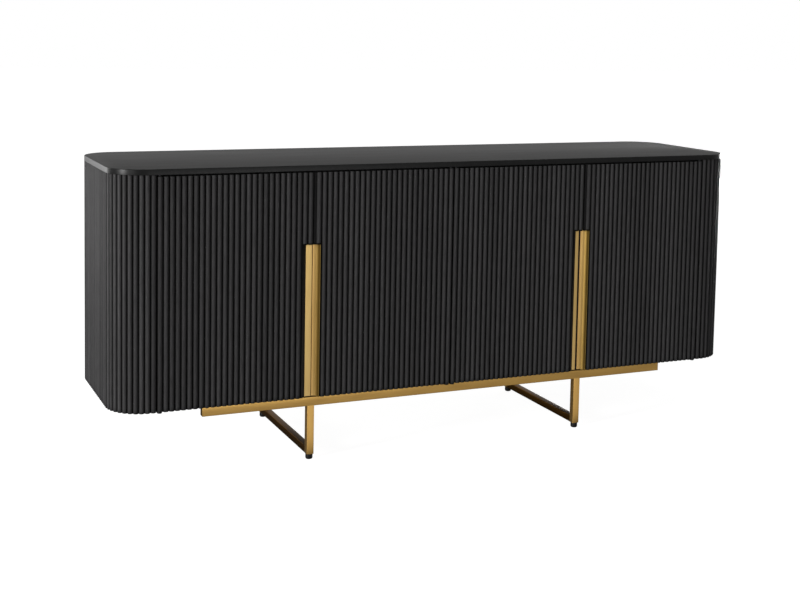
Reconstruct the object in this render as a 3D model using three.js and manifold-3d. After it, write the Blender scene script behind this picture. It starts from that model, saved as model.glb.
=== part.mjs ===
// Four-door sideboard with reeded doors and ends, pivot-hung doors and a tube base.
// Millimetres, +Z up, front at -Y, origin on the floor under the middle of the cabinet.
import * as THREE from 'three';
import { mergeVertices } from 'three/addons/utils/BufferGeometryUtils.js';
import Module from 'manifold-3d';

// ---------------------------------------------------------------- overall
const WIDTH = 1900;
const DEPTH = 480;
const HEIGHT = 808;
const CORNER_RADIUS = 96;         // outside radius of the four upright corners
const SEAT_GAP = 0.3;             // between two pieces that bear on each other
const CUT_PAST = 1;               // how far a cutter runs past the face that it opens

// ---------------------------------------------------------------- panels
const SLAB_THICKNESS = 15;
const SLAB_EDGE = 1;              // small bevel round the slab
const PANEL_THICKNESS = 18;       // carcass top, bottom and partition
const SIDE_THICKNESS = 15;
const SIDE_END_GAP = 1;           // side panel to the shell's inner face and to the back panel's seat
const BACK_THICKNESS = 8;
const BACK_RECESS = 16;           // back panel behind the rear plane
const REAR_INSET = 2;             // top and bottom panels inside the rear plane
const SHELF_THICKNESS = 18;
const SHELF_HEIGHT = 270;         // underside of the shelf above the bottom panel
const SHELF_FRONT_SETBACK = 18;   // behind the carcass front
const SHELF_BACK_GAP = 8;
const SHELF_SIDE_GAP = 1.5;

// ---------------------------------------------------------------- reeding
const REED_PITCH = 15.6;          // aimed for; each run of reeds is divided evenly
const REED_HEIGHT = 6;
const REED_GROOVE = 1;            // flat between two reeds
const REED_SEGMENTS = 6;
const ARC_SEGMENTS = 8;           // of a quarter turn; three.js cuts an arc into two per segment

// ---------------------------------------------------------------- end shells
const SHELL_WALL = 24;            // reeds included
const SHELL_RETURN = 17.5;        // flat stretch between the corner and the seam

// ---------------------------------------------------------------- doors
const DOOR_THICKNESS = 30;        // reeds included
const DOOR_BACK_GAP = 3;          // door back to carcass front
const DOOR_TOP_GAP = 4.5;         // door top to slab
const END_GAP = 2.4;              // hinge side, door to end shell
const MIDDLE_GAP = 3.9;           // between the two doors hung at the middle
const PAIR_GAP = 8;               // between the two doors of a pair
const HINGE_EDGE_TRIM = 1.3;      // cut off the reed at the hinge edge

// ---------------------------------------------------------------- pivot hinges
const LEAF_THICKNESS = 2.5;
const LEAF_WIDTH = 12;
const LEAF_TAIL = 45;             // under or over the carcass panel
const PIN_DIAMETER = 6;
const PIN_LENGTH = 11;
const PIN_CLEARANCE = 0.3;        // radial, and past the pin's end
const RUNNING_GAP = 0.3;          // door bottom over the lower leaf

// ---------------------------------------------------------------- finger pulls
const PULL_HEIGHT = 417;
const LINER_THICKNESS = 1.5;
const LINER_GAP = 2.2;            // liner edge to the middle of the pair's seam
const LINER_RETURN = 28;          // depth that the liners' return flanges reach
const FLAT_LINER_DEPTH = 18.4;
const FLAT_LINER_WIDTH = 16.8;
const PULL_SLOPE = 15.5;          // width of the sloping wall beside the flat liner
const HOLLOW_LINER_DEPTH = 25;
const HOLLOW_FLOOR = 3.8;         // flat stretch before the hollow curves forward
const HOLLOW_RISE = 8.8;          // width of the curve
const HOLLOW_LIP = 1;             // front edge of the curve behind the reed crests

// ---------------------------------------------------------------- catches, shelf pins
const CATCH_WIDTH = 56;
const CATCH_DEPTH = 20;
const CATCH_HEIGHT = 14;
const STRIKE_WIDTH = 18;
const STRIKE_THICKNESS = 1.5;
const STRIKE_OFFSET = 8;          // from the middle of the pair's seam
const SHELF_PIN_DIAMETER = 5;
const SHELF_PIN_REACH = 8;        // into the panel, and out under the shelf
const SHELF_PIN_INSET = 35;       // from the shelf's front and rear edges

// ---------------------------------------------------------------- base
const BASE_HEIGHT = 174;          // floor to carcass
const BAR_LENGTH = 1423;
const BAR_HEIGHT = 25;
const TUBE = 20;                  // square tube of legs, rails and cross members
const TUBE_WALL = 2;
const BASE_FRONT_SETBACK = 18;    // front bar behind the reed crests
const BASE_REAR_SETBACK = 26;     // rear bar inside the rear plane
const VENT_DIAMETER = 8;          // breather hole in each long bar
const GLIDE_HEIGHT = 14.5;
const GLIDE_RADIUS = 10;
const GLIDE_SOLE_RADIUS = 7;
const GLIDE_SHOULDER = 5;         // where the rounding ends, above the floor
const GLIDE_PLUG_LENGTH = 18;
const GLIDE_PLUG_CLEARANCE = 0.4;

// ---------------------------------------------------------------- places that follow
const FRONT = -DEPTH / 2;
const REAR = DEPTH / 2;
const DOOR_BACK = FRONT + DOOR_THICKNESS;
const CARCASS_FRONT = DOOR_BACK + DOOR_BACK_GAP;
const BACK_PANEL_FRONT = REAR - BACK_RECESS - BACK_THICKNESS;
const SLAB_UNDER = HEIGHT - SLAB_THICKNESS;
const TOP_PANEL_TOP = SLAB_UNDER - SEAT_GAP;
const TOP_PANEL_UNDER = TOP_PANEL_TOP - PANEL_THICKNESS;
const BOTTOM_PANEL_TOP = BASE_HEIGHT + PANEL_THICKNESS;
const SHELF_UNDER = BOTTOM_PANEL_TOP + SHELF_HEIGHT;
const DOOR_BOTTOM = BASE_HEIGHT + LEAF_THICKNESS + RUNNING_GAP;
const DOOR_TOP = SLAB_UNDER - DOOR_TOP_GAP;
const SEAM_X = WIDTH / 2 - CORNER_RADIUS - SHELL_RETURN;
const CORNER_CENTRE_X = WIDTH / 2 - CORNER_RADIUS;
const CORNER_CENTRE_Y = DEPTH / 2 - CORNER_RADIUS;

// Reeds over a pair of doors, shared out between its left and right door.
const PAIR_WOOD = SEAM_X - END_GAP - PAIR_GAP - MIDDLE_GAP / 2;
const PAIR_REEDS = Math.round((PAIR_WOOD + 2 * HINGE_EDGE_TRIM) / REED_PITCH);
const DOOR_PITCH = (PAIR_WOOD + 2 * HINGE_EDGE_TRIM) / PAIR_REEDS;
const LEFT_DOOR_WIDTH = Math.ceil(PAIR_REEDS / 2) * DOOR_PITCH - HINGE_EDGE_TRIM;
const RIGHT_DOOR_WIDTH = Math.floor(PAIR_REEDS / 2) * DOOR_PITCH - HINGE_EDGE_TRIM;

// ---------------------------------------------------------------- materials
const blackWood = new THREE.MeshStandardMaterial({ color: 0x262524, roughness: 0.5, metalness: 0 });
const blackBoard = new THREE.MeshStandardMaterial({ color: 0x2f2d2b, roughness: 0.7, metalness: 0 });
const brass = new THREE.MeshStandardMaterial({ color: 0xc29b50, roughness: 0.35, metalness: 1 });
const darkSteel = new THREE.MeshStandardMaterial({ color: 0x3a3a3b, roughness: 0.45, metalness: 1 });
const zincSteel = new THREE.MeshStandardMaterial({ color: 0xb4b5b6, roughness: 0.4, metalness: 1 });
const blackPlastic = new THREE.MeshStandardMaterial({ color: 0x151515, roughness: 0.55, metalness: 0 });

const sideboard = new THREE.Group();
sideboard.name = 'sideboard';

function addPart(name, geometry, material) {
  const mesh = new THREE.Mesh(geometry, material);
  mesh.name = name;
  sideboard.add(mesh);
}

// ---------------------------------------------------------------- solid helpers
const wasm = await Module();
wasm.setup();

function toSolid(geometry) {
  const bare = geometry.clone();
  bare.deleteAttribute('normal');
  bare.deleteAttribute('uv');
  const merged = mergeVertices(bare, 1e-4);
  return new wasm.Manifold(new wasm.Mesh({
    numProp: 3,
    vertProperties: new Float32Array(merged.attributes.position.array),
    triVerts: new Uint32Array(merged.index.array),
  }));
}

function toGeometry(solid) {
  const mesh = solid.getMesh();
  const geometry = new THREE.BufferGeometry();
  geometry.setAttribute('position', new THREE.BufferAttribute(mesh.vertProperties, 3));
  geometry.setIndex(new THREE.BufferAttribute(mesh.triVerts, 1));
  geometry.computeVertexNormals();
  return geometry;
}

function cut(geometry, cutters) {
  return toGeometry(cutters.reduce((solid, cutter) => solid.subtract(toSolid(cutter)), toSolid(geometry)));
}

function join(geometries) {
  return toGeometry(geometries.slice(1).reduce((solid, g) => solid.add(toSolid(g)), toSolid(geometries[0])));
}

// A box from its low and high corner.
function box(x0, y0, z0, x1, y1, z1) {
  const geometry = new THREE.BoxGeometry(x1 - x0, y1 - y0, z1 - z0);
  return geometry.translate((x0 + x1) / 2, (y0 + y1) / 2, (z0 + z1) / 2);
}

// An upright prism of a plan outline.
function prism(outline, z0, z1) {
  const shape = outline instanceof THREE.Shape ? outline : new THREE.Shape(outline);
  const options = { depth: z1 - z0, bevelEnabled: false, curveSegments: ARC_SEGMENTS / 2 };
  return new THREE.ExtrudeGeometry(shape, options).translate(0, 0, z0);
}

// An upright round rod.
function rod(x, y, z0, z1, radius) {
  const geometry = new THREE.CylinderGeometry(radius, radius, z1 - z0, 16);
  return geometry.rotateX(Math.PI / 2).translate(x, y, (z0 + z1) / 2);
}

// A rod that lies along X.
function crossRod(x0, x1, y, z, radius) {
  const geometry = new THREE.CylinderGeometry(radius, radius, x1 - x0, 12);
  return geometry.rotateZ(Math.PI / 2).translate((x0 + x1) / 2, y, z);
}

// Square or rectangular tube, open at both ends, along axis 'x', 'y' or 'z'.
function openTube(low, high, axis) {
  const inner = { x: TUBE_WALL, y: TUBE_WALL, z: TUBE_WALL };
  inner[axis] = -1;
  const bore = box(
    low.x + inner.x, low.y + inner.y, low.z + inner.z,
    high.x - inner.x, high.y - inner.y, high.z - inner.z,
  );
  return cut(box(low.x, low.y, low.z, high.x, high.y, high.z), [bore]);
}

// ---------------------------------------------------------------- reeding helpers
// Profile of one reed: [along, depth] pairs from groove to groove, and the radius of its round.
function reedRound(pitch) {
  const half = (pitch - REED_GROOVE) / 2;
  const radius = (half * half + REED_HEIGHT * REED_HEIGHT) / (2 * REED_HEIGHT);
  return { half, radius };
}

function reedProfile(pitch) {
  const { half, radius } = reedRound(pitch);
  const sweep = Math.atan2(half, radius - REED_HEIGHT);
  const points = [];
  for (let i = 0; i <= REED_SEGMENTS; i += 1) {
    const angle = sweep * (2 * i / REED_SEGMENTS - 1);
    points.push([radius * Math.sin(angle), radius - radius * Math.cos(angle)]);
  }
  return points;
}

// A run of reeds from start: [along, depth] pairs.
function reedRun(start, count, pitch) {
  const run = [];
  for (let i = 0; i < count; i += 1) {
    const middle = start + (i + 0.5) * pitch;
    reedProfile(pitch).forEach(([along, depth]) => run.push([middle + along, depth]));
  }
  return run;
}

// ---------------------------------------------------------------- top slab
// Rounded board with a small bevel round both faces.
function roundedPlan(halfWidth, low, high, radius) {
  const shape = new THREE.Shape();
  shape.absarc(halfWidth - radius, low + radius, radius, -Math.PI / 2, 0);
  shape.absarc(halfWidth - radius, high - radius, radius, 0, Math.PI / 2);
  shape.absarc(-halfWidth + radius, high - radius, radius, Math.PI / 2, Math.PI);
  shape.absarc(-halfWidth + radius, low + radius, radius, Math.PI, 1.5 * Math.PI);
  return shape;
}

const slab = new THREE.ExtrudeGeometry(roundedPlan(WIDTH / 2, FRONT, REAR, CORNER_RADIUS), {
  depth: SLAB_THICKNESS - 2 * SLAB_EDGE,
  bevelThickness: SLAB_EDGE,
  bevelSize: SLAB_EDGE,
  bevelOffset: -SLAB_EDGE,
  bevelSegments: 1,
  curveSegments: ARC_SEGMENTS,
});
addPart('top_slab', slab.translate(0, 0, SLAB_UNDER + SLAB_EDGE), blackWood);

// ---------------------------------------------------------------- end shells
// Each shell runs from the front seam round the front corner, the end and the rear corner.
const QUARTER = CORNER_RADIUS * Math.PI / 2;
const END_STRAIGHT = DEPTH - 2 * CORNER_RADIUS;
const SHELL_RUN = 2 * SHELL_RETURN + 2 * QUARTER + END_STRAIGHT;

// The point that lies s along the right shell's face and depth behind it.
function shellPoint(s, depth) {
  const arc1 = s - SHELL_RETURN;
  if (arc1 <= 0) return new THREE.Vector2(SEAM_X + s, FRONT + depth);
  const end = arc1 - QUARTER;
  if (end <= 0) {
    const angle = arc1 / CORNER_RADIUS;
    return new THREE.Vector2(
      CORNER_CENTRE_X + (CORNER_RADIUS - depth) * Math.sin(angle),
      -CORNER_CENTRE_Y - (CORNER_RADIUS - depth) * Math.cos(angle),
    );
  }
  const arc2 = end - END_STRAIGHT;
  if (arc2 <= 0) return new THREE.Vector2(WIDTH / 2 - depth, -CORNER_CENTRE_Y + end);
  const back = arc2 - QUARTER;
  if (back <= 0) {
    const angle = arc2 / CORNER_RADIUS;
    return new THREE.Vector2(
      CORNER_CENTRE_X + (CORNER_RADIUS - depth) * Math.cos(angle),
      CORNER_CENTRE_Y + (CORNER_RADIUS - depth) * Math.sin(angle),
    );
  }
  return new THREE.Vector2(CORNER_CENTRE_X - back, REAR - depth);
}

function shellOutline() {
  const count = Math.round(SHELL_RUN / REED_PITCH);
  const points = [shellPoint(0, REED_HEIGHT)];
  reedRun(0, count, SHELL_RUN / count).forEach(([s, depth]) => points.push(shellPoint(s, depth)));
  points.push(shellPoint(SHELL_RUN, REED_HEIGHT), shellPoint(SHELL_RUN, SHELL_WALL));
  const secondCorner = SHELL_RETURN + QUARTER + END_STRAIGHT;
  for (let i = ARC_SEGMENTS; i >= 0; i -= 1) {
    points.push(shellPoint(secondCorner + QUARTER * i / ARC_SEGMENTS, SHELL_WALL));
  }
  for (let i = ARC_SEGMENTS; i >= 0; i -= 1) {
    points.push(shellPoint(SHELL_RETURN + QUARTER * i / ARC_SEGMENTS, SHELL_WALL));
  }
  points.push(shellPoint(0, SHELL_WALL));
  return points;
}

const mirrored = (points) => points.map((p) => new THREE.Vector2(-p.x, p.y));
addPart('end_shell_right', prism(shellOutline(), DOOR_BOTTOM, TOP_PANEL_TOP), blackWood);
addPart('end_shell_left', prism(mirrored(shellOutline()), DOOR_BOTTOM, TOP_PANEL_TOP), blackWood);

// ---------------------------------------------------------------- doors' places
// hinge is the direction from the door to its hinge edge; seam is the middle of the pair's seam.
function doorPlaces() {
  const pairs = [
    { side: 'left', start: -SEAM_X + END_GAP, doors: ['outer', 'inner'] },
    { side: 'right', start: MIDDLE_GAP / 2, doors: ['inner', 'outer'] },
  ];
  return pairs.flatMap(({ side, start, doors }) => {
    const seam = start + LEFT_DOOR_WIDTH + PAIR_GAP / 2;
    return [
      { name: `${side}_${doors[0]}`, side, low: start, high: start + LEFT_DOOR_WIDTH, hinge: -1, seam },
      {
        name: `${side}_${doors[1]}`,
        side,
        low: seam + PAIR_GAP / 2,
        high: seam + PAIR_GAP / 2 + RIGHT_DOOR_WIDTH,
        hinge: 1,
        seam,
      },
    ];
  });
}

const DOORS = doorPlaces();
const SIDES = ['left', 'right'];
const seamOf = (side) => DOORS.find((door) => door.side === side).seam;
const PIVOT_INSET = DOOR_PITCH / 2 - HINGE_EDGE_TRIM;
const PIVOT_Y = FRONT + reedRound(DOOR_PITCH).radius;
const pivotX = (door) => (door.hinge < 0 ? door.low + PIVOT_INSET : door.high - PIVOT_INSET);

// ---------------------------------------------------------------- carcass panels
// Plan of the top and bottom panels: rounded inside the shells, with a tongue between their rear returns.
const PANEL_INSET = SHELL_WALL + SEAT_GAP;
const PANEL_HALF = WIDTH / 2 - PANEL_INSET;
const PANEL_RADIUS = CORNER_RADIUS - PANEL_INSET;
const PANEL_REAR = REAR - PANEL_INSET;
const TONGUE_HALF = SEAM_X - SEAT_GAP;
const TONGUE_REAR = REAR - REAR_INSET;
const FRONT_RADIUS = PANEL_RADIUS - (DOOR_THICKNESS + DOOR_BACK_GAP - PANEL_INSET) / 2;

function panelPlan() {
  const shape = new THREE.Shape();
  shape.absarc(PANEL_HALF - FRONT_RADIUS, CARCASS_FRONT + FRONT_RADIUS, FRONT_RADIUS, -Math.PI / 2, 0);
  shape.absarc(PANEL_HALF - PANEL_RADIUS, PANEL_REAR - PANEL_RADIUS, PANEL_RADIUS, 0, Math.PI / 2);
  shape.lineTo(TONGUE_HALF, PANEL_REAR);
  shape.lineTo(TONGUE_HALF, TONGUE_REAR);
  shape.lineTo(-TONGUE_HALF, TONGUE_REAR);
  shape.lineTo(-TONGUE_HALF, PANEL_REAR);
  shape.absarc(-PANEL_HALF + PANEL_RADIUS, PANEL_REAR - PANEL_RADIUS, PANEL_RADIUS, Math.PI / 2, Math.PI);
  shape.absarc(-PANEL_HALF + FRONT_RADIUS, CARCASS_FRONT + FRONT_RADIUS, FRONT_RADIUS, Math.PI, 1.5 * Math.PI);
  return shape;
}

// Rebates for the hinge leaves, sunk from a panel's outer face.
function leafRebates(z0, z1) {
  const half = LEAF_WIDTH / 2 + SEAT_GAP;
  const rear = CARCASS_FRONT + LEAF_TAIL + SEAT_GAP;
  return DOORS.map((door) => box(pivotX(door) - half, FRONT, z0, pivotX(door) + half, rear, z1));
}

const REBATE = LEAF_THICKNESS + SEAT_GAP;
const bottomBoard = prism(panelPlan(), BASE_HEIGHT, BOTTOM_PANEL_TOP);
const bottomRebates = leafRebates(BASE_HEIGHT - CUT_PAST, BASE_HEIGHT + REBATE);
addPart('bottom_panel', cut(bottomBoard, bottomRebates), blackBoard);
const topBoard = prism(panelPlan(), TOP_PANEL_UNDER, TOP_PANEL_TOP);
const topRebates = leafRebates(TOP_PANEL_TOP - REBATE, TOP_PANEL_TOP + CUT_PAST);
addPart('carcass_top', cut(topBoard, topRebates), blackBoard);

const BAY_FLOOR = BOTTOM_PANEL_TOP + SEAT_GAP;
const BAY_CEILING = TOP_PANEL_UNDER - SEAT_GAP;
const BAY_REAR = BACK_PANEL_FRONT - SEAT_GAP;
const BACK_PANEL_REAR = BACK_PANEL_FRONT + BACK_THICKNESS;
const backPanel = box(-TONGUE_HALF, BACK_PANEL_FRONT, BAY_FLOOR, TONGUE_HALF, BACK_PANEL_REAR, BAY_CEILING);
addPart('back_panel', backPanel, blackBoard);

// ---------------------------------------------------------------- shelf pins and their holes
const SHELF_FRONT = CARCASS_FRONT + SHELF_FRONT_SETBACK;
const SHELF_REAR = BACK_PANEL_FRONT - SHELF_BACK_GAP;
const SHELF_PIN_Z = SHELF_UNDER - SEAT_GAP - SHELF_PIN_DIAMETER / 2;
const SHELF_PIN_ROWS = { front: SHELF_FRONT + SHELF_PIN_INSET, rear: SHELF_REAR - SHELF_PIN_INSET };

// Blind holes in a panel's face at x; inward is the way into the panel.
function pinHoles(x, inward) {
  const deep = x + inward * (SHELF_PIN_REACH + PIN_CLEARANCE);
  const out = x - inward;
  return Object.values(SHELF_PIN_ROWS).map((y) => crossRod(
    Math.min(deep, out), Math.max(deep, out), y, SHELF_PIN_Z, SHELF_PIN_DIAMETER / 2 + PIN_CLEARANCE,
  ));
}

// ---------------------------------------------------------------- side panels and partition
const BAY_SIDE = SEAM_X;                       // inner face of the side panels
const PARTITION_FACE = PANEL_THICKNESS / 2;
const SIDE_FRONT = FRONT + SHELL_WALL + SIDE_END_GAP;
const SIDE_REAR = BAY_REAR - SIDE_END_GAP;
const sideRight = box(BAY_SIDE, SIDE_FRONT, BAY_FLOOR, BAY_SIDE + SIDE_THICKNESS, SIDE_REAR, BAY_CEILING);
addPart('side_panel_right', cut(sideRight, pinHoles(BAY_SIDE, 1)), blackBoard);
const sideLeft = box(-BAY_SIDE - SIDE_THICKNESS, SIDE_FRONT, BAY_FLOOR, -BAY_SIDE, SIDE_REAR, BAY_CEILING);
addPart('side_panel_left', cut(sideLeft, pinHoles(-BAY_SIDE, -1)), blackBoard);
const partition = box(-PARTITION_FACE, CARCASS_FRONT, BAY_FLOOR, PARTITION_FACE, BAY_REAR, BAY_CEILING);
const partitionHoles = [...pinHoles(PARTITION_FACE, -1), ...pinHoles(-PARTITION_FACE, 1)];
addPart('centre_partition', cut(partition, partitionHoles), blackBoard);

// ---------------------------------------------------------------- shelves on pins
for (const [side, direction] of [['left', -1], ['right', 1]]) {
  const ends = [direction * (PARTITION_FACE + SHELF_SIDE_GAP), direction * (BAY_SIDE - SHELF_SIDE_GAP)];
  const [low, high] = ends.sort((a, b) => a - b);
  const top = SHELF_UNDER + SHELF_THICKNESS;
  addPart(`shelf_${side}`, box(low, SHELF_FRONT, SHELF_UNDER, high, SHELF_REAR, top), blackBoard);
  for (const [end, face, inward] of [['inner', PARTITION_FACE, -1], ['outer', BAY_SIDE, 1]]) {
    for (const [row, y] of Object.entries(SHELF_PIN_ROWS)) {
      const reach = [1, -1].map((way) => direction * (face + way * inward * SHELF_PIN_REACH));
      const pin = crossRod(Math.min(...reach), Math.max(...reach), y, SHELF_PIN_Z, SHELF_PIN_DIAMETER / 2);
      addPart(`shelf_pin_${side}_${end}_${row}`, pin, zincSteel);
    }
  }
}

// ---------------------------------------------------------------- finger pulls
// Plan curve of the hollow: x from the seam's middle and depth behind the crests, grown outwards.
function hollowCurve(grow) {
  const start = LINER_GAP + HOLLOW_FLOOR;
  const points = [];
  for (let i = 0; i <= ARC_SEGMENTS; i += 1) {
    const angle = Math.PI / 2 * i / ARC_SEGMENTS;
    points.push([
      start + (HOLLOW_RISE + grow) * Math.sin(angle),
      HOLLOW_LIP + (HOLLOW_LINER_DEPTH - HOLLOW_LIP + grow) * Math.cos(angle),
    ]);
  }
  return points;
}

const planPoints = (seam, pairs) => pairs.map(([x, depth]) => new THREE.Vector2(seam + x, FRONT + depth));
const PULL_TOP = DOOR_BOTTOM + PULL_HEIGHT;

// What the pull takes out of the left and of the right door of a pair.
function leftPullCut(seam) {
  const floor = FLAT_LINER_DEPTH + LINER_THICKNESS + SEAT_GAP;
  const foot = -LINER_GAP - FLAT_LINER_WIDTH - SEAT_GAP;
  const mouth = foot - PULL_SLOPE;
  return planPoints(seam, [[mouth, -CUT_PAST], [0, -CUT_PAST], [0, floor], [foot, floor], [mouth, 0]]);
}

function rightPullCut(seam) {
  const curve = hollowCurve(LINER_THICKNESS + SEAT_GAP);
  const lip = curve[curve.length - 1][0];
  const deep = curve[0][1];
  return planPoints(seam, [[0, -CUT_PAST], [lip, -CUT_PAST], ...curve.reverse(), [0, deep]]);
}

function flatLiner(seam) {
  const edge = -LINER_GAP;
  const face = FLAT_LINER_DEPTH;
  const inner = face + LINER_THICKNESS;
  return planPoints(seam, [
    [edge - FLAT_LINER_WIDTH, face], [edge, face], [edge, LINER_RETURN],
    [edge - LINER_THICKNESS, LINER_RETURN], [edge - LINER_THICKNESS, inner], [edge - FLAT_LINER_WIDTH, inner],
  ]);
}

function hollowLiner(seam) {
  const outer = hollowCurve(0);
  const inner = hollowCurve(LINER_THICKNESS).reverse();
  const flange = LINER_GAP + LINER_THICKNESS;
  const backed = HOLLOW_LINER_DEPTH + LINER_THICKNESS;
  return planPoints(seam, [
    [LINER_GAP, LINER_RETURN], [LINER_GAP, HOLLOW_LINER_DEPTH], ...outer, ...inner, [flange, backed],
    [flange, LINER_RETURN],
  ]);
}

// ---------------------------------------------------------------- doors
// Reeded front from the low to the high edge, with the reed at the hinge edge trimmed.
function doorOutline(door) {
  const count = Math.round((door.high - door.low + HINGE_EDGE_TRIM) / DOOR_PITCH);
  const start = door.hinge < 0 ? -HINGE_EDGE_TRIM : 0;
  const width = door.high - door.low;
  const { radius } = reedRound(DOOR_PITCH);
  const trimDepth = radius - Math.sqrt(radius * radius - PIVOT_INSET * PIVOT_INSET);
  const inside = reedRun(start, count, DOOR_PITCH).filter(([s]) => s > 0 && s < width);
  const lowDepth = door.hinge < 0 ? trimDepth : REED_HEIGHT;
  const highDepth = door.hinge < 0 ? REED_HEIGHT : trimDepth;
  const front = [[0, lowDepth], ...inside, [width, highDepth]];
  return planPoints(door.low, [...front, [width, DOOR_THICKNESS], [0, DOOR_THICKNESS]]);
}

function pinHole(door, z0, z1) {
  return rod(pivotX(door), PIVOT_Y, z0, z1, PIN_DIAMETER / 2 + PIN_CLEARANCE);
}

// Catch height on the doors, shared by catch and strike.
const CATCH_TOP = TOP_PANEL_UNDER - SEAT_GAP;
const CATCH_UNDER = CATCH_TOP - CATCH_HEIGHT;
const STRIKE_FRONT = DOOR_BACK + SEAT_GAP;
const CATCH_FRONT = STRIKE_FRONT + STRIKE_THICKNESS + SEAT_GAP;
const LEAF_TOP_UNDER = TOP_PANEL_TOP - LEAF_THICKNESS;
const LEAF_BOTTOM_TOP = BASE_HEIGHT + LEAF_THICKNESS;

for (const door of DOORS) {
  const pull = door.hinge < 0 ? leftPullCut(door.seam) : rightPullCut(door.seam);
  const cutters = [
    prism(pull, DOOR_BOTTOM - CUT_PAST, PULL_TOP),
    pinHole(door, DOOR_BOTTOM - CUT_PAST, LEAF_BOTTOM_TOP + PIN_LENGTH + PIN_CLEARANCE),
    pinHole(door, LEAF_TOP_UNDER - PIN_LENGTH - PIN_CLEARANCE, DOOR_TOP + CUT_PAST),
  ];
  addPart(`door_${door.name}`, cut(prism(doorOutline(door), DOOR_BOTTOM, DOOR_TOP), cutters), blackWood);

  const liner = door.hinge < 0 ? flatLiner(door.seam) : hollowLiner(door.seam);
  addPart(`pull_liner_${door.name}`, prism(liner, DOOR_BOTTOM, PULL_TOP - SEAT_GAP), brass);

  const strikeX = door.hinge < 0 ? door.seam - STRIKE_OFFSET - STRIKE_WIDTH : door.seam + STRIKE_OFFSET;
  const strike = box(
    strikeX, STRIKE_FRONT, CATCH_UNDER,
    strikeX + STRIKE_WIDTH, STRIKE_FRONT + STRIKE_THICKNESS, CATCH_TOP,
  );
  addPart(`strike_${door.name}`, strike, zincSteel);
}

// ---------------------------------------------------------------- pivot hinge leaves
// A flat leaf sunk in the carcass panel, round-nosed at the pivot, with the pin fixed in it.
function leafPlan(door) {
  const x = pivotX(door);
  const half = LEAF_WIDTH / 2;
  const shape = new THREE.Shape();
  shape.moveTo(x + half, CARCASS_FRONT + LEAF_TAIL);
  shape.lineTo(x - half, CARCASS_FRONT + LEAF_TAIL);
  shape.lineTo(x - half, PIVOT_Y);
  shape.absarc(x, PIVOT_Y, half, Math.PI, 2 * Math.PI);
  return shape;
}

for (const door of DOORS) {
  const x = pivotX(door);
  const pinRadius = PIN_DIAMETER / 2;
  const lower = join([
    prism(leafPlan(door), BASE_HEIGHT, LEAF_BOTTOM_TOP),
    rod(x, PIVOT_Y, BASE_HEIGHT + LEAF_THICKNESS / 2, LEAF_BOTTOM_TOP + PIN_LENGTH, pinRadius),
  ]);
  addPart(`hinge_lower_${door.name}`, lower, darkSteel);
  const upper = join([
    prism(leafPlan(door), LEAF_TOP_UNDER, TOP_PANEL_TOP),
    rod(x, PIVOT_Y, LEAF_TOP_UNDER - PIN_LENGTH, TOP_PANEL_TOP - LEAF_THICKNESS / 2, pinRadius),
  ]);
  addPart(`hinge_upper_${door.name}`, upper, darkSteel);
}

// ---------------------------------------------------------------- magnetic catches
for (const side of SIDES) {
  const seam = seamOf(side);
  const body = box(
    seam - CATCH_WIDTH / 2, CATCH_FRONT, CATCH_UNDER,
    seam + CATCH_WIDTH / 2, CATCH_FRONT + CATCH_DEPTH, CATCH_TOP,
  );
  addPart(`magnetic_catch_${side}`, body, blackPlastic);
}

// ---------------------------------------------------------------- base: long bars
const BAR_TOP = BASE_HEIGHT - SEAT_GAP;
const BAR_UNDER = BASE_HEIGHT - BAR_HEIGHT;
const FRONT_BAR_Y = FRONT + BASE_FRONT_SETBACK;
const REAR_BAR_Y = REAR - BASE_REAR_SETBACK - TUBE;

// Closed-ended rectangular tube with a breather hole in its top face.
function longBar(y) {
  const half = BAR_LENGTH / 2;
  const outer = box(-half, y, BAR_UNDER, half, y + TUBE, BAR_TOP);
  const bore = box(
    -half + TUBE_WALL, y + TUBE_WALL, BAR_UNDER + TUBE_WALL,
    half - TUBE_WALL, y + TUBE - TUBE_WALL, BAR_TOP - TUBE_WALL,
  );
  const vent = rod(0, y + TUBE / 2, BAR_TOP - TUBE_WALL - CUT_PAST, BAR_TOP + CUT_PAST, VENT_DIAMETER / 2);
  return cut(outer, [bore, vent]);
}

addPart('front_bar', longBar(FRONT_BAR_Y), brass);
addPart('rear_bar', longBar(REAR_BAR_Y), brass);

// ---------------------------------------------------------------- base: leg frames under the seams
// Turned profile of a glide: rounded sole, straight side, plug that goes up the leg.
function glide(x, y) {
  const head = GLIDE_HEIGHT - SEAT_GAP;
  const plug = TUBE / 2 - TUBE_WALL - GLIDE_PLUG_CLEARANCE;
  const profile = [new THREE.Vector2(0, 0), new THREE.Vector2(GLIDE_SOLE_RADIUS, 0)];
  for (let i = 1; i <= 3; i += 1) {
    const angle = Math.PI / 2 * i / 3;
    profile.push(new THREE.Vector2(
      GLIDE_SOLE_RADIUS + (GLIDE_RADIUS - GLIDE_SOLE_RADIUS) * Math.sin(angle),
      GLIDE_SHOULDER * (1 - Math.cos(angle)),
    ));
  }
  profile.push(
    new THREE.Vector2(GLIDE_RADIUS, head),
    new THREE.Vector2(plug, head),
    new THREE.Vector2(plug, head + GLIDE_PLUG_LENGTH),
    new THREE.Vector2(0, head + GLIDE_PLUG_LENGTH),
  );
  return new THREE.LatheGeometry(profile, 16).rotateX(Math.PI / 2).translate(x, y, 0);
}

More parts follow.
